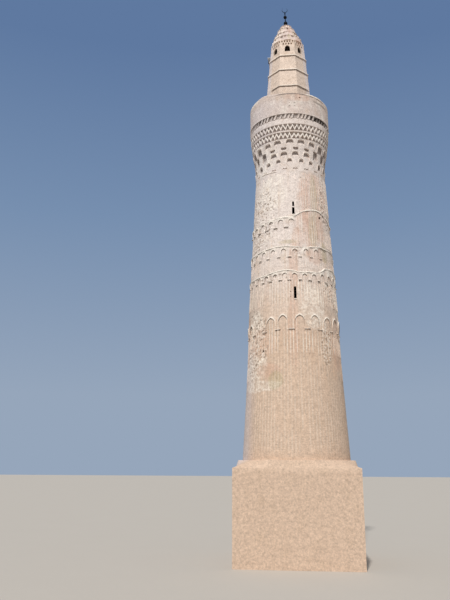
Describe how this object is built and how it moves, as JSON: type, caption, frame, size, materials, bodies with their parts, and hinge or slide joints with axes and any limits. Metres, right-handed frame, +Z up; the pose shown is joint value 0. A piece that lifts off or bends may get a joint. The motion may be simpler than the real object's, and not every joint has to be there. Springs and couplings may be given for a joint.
{
  "type": "brick minaret",
  "caption": "Round whitewashed brick tower on a square base, with blind arcades, a gallery on corbelled niches, and an eight-sided lantern under a scalloped cap.",
  "frame": {"origin": "centre of the tower at ground level, on the underside of the ground floor", "axes": "+Z up, -Y towards the front that the picture shows, +X to its right"},
  "size_m": [6.6, 6.6, 34.79],
  "materials": {
    "lime_washed_masonry": "worn lime wash over brick, matt and patchy",
    "carved_plaster": "carved lime plaster, matt, dark in the hollows",
    "trodden_floor": "trodden earth and lime, matt",
    "dark_metal": "blackened, dull",
    "lamp_enamel": "weathered enamel"
  },
  "bodies": {
    "root": {"ground_floor": "trodden_floor", "base_wall_front": "lime_washed_masonry", "base_wall_left": "lime_washed_masonry", "base_wall_right": "lime_washed_masonry", "base_wall_back_left": "lime_washed_masonry", "base_wall_back_right": "lime_washed_masonry", "base_arch_over_doorway": "lime_washed_masonry", "base_roof": "lime_washed_masonry", "shaft_wall_front": "lime_washed_masonry", "shaft_wall_front_right": "lime_washed_masonry", "shaft_wall_right": "lime_washed_masonry", "shaft_wall_back_right": "lime_washed_masonry", "shaft_wall_back": "lime_washed_masonry", "shaft_wall_back_left": "lime_washed_masonry", "shaft_wall_left": "lime_washed_masonry", "shaft_wall_front_left": "lime_washed_masonry", "blind_arcade_1": "carved_plaster", "blind_arcade_2": "carved_plaster", "blind_arcade_3": "carved_plaster", "blind_arcade_4": "carved_plaster", "corbel_front": "carved_plaster", "corbel_front_right": "carved_plaster", "corbel_right": "carved_plaster", "corbel_back_right": "carved_plaster", "corbel_back": "carved_plaster", "corbel_back_left": "carved_plaster", "corbel_left": "carved_plaster", "corbel_front_left": "carved_plaster", "gallery_floor": "trodden_floor", "gallery_tooth_course": "carved_plaster", "gallery_parapet_front": "lime_washed_masonry", "gallery_parapet_right": "lime_washed_masonry", "gallery_parapet_back": "lime_washed_masonry", "gallery_parapet_left": "lime_washed_masonry", "lantern_wall_front": "lime_washed_masonry", "lantern_wall_front_right": "lime_washed_masonry", "lantern_wall_right": "lime_washed_masonry", "lantern_wall_back_right": "lime_washed_masonry", "lantern_wall_back": "lime_washed_masonry", "lantern_wall_back_left": "lime_washed_masonry", "lantern_wall_left": "lime_washed_masonry", "lantern_wall_front_left": "lime_washed_masonry", "lantern_string_course_1": "carved_plaster", "lantern_string_course_2": "carved_plaster", "lantern_string_course_3": "carved_plaster", "cap": "carved_plaster", "finial": "dark_metal", "wall_lamp": "lamp_enamel"}
  },
  "joints": []
}
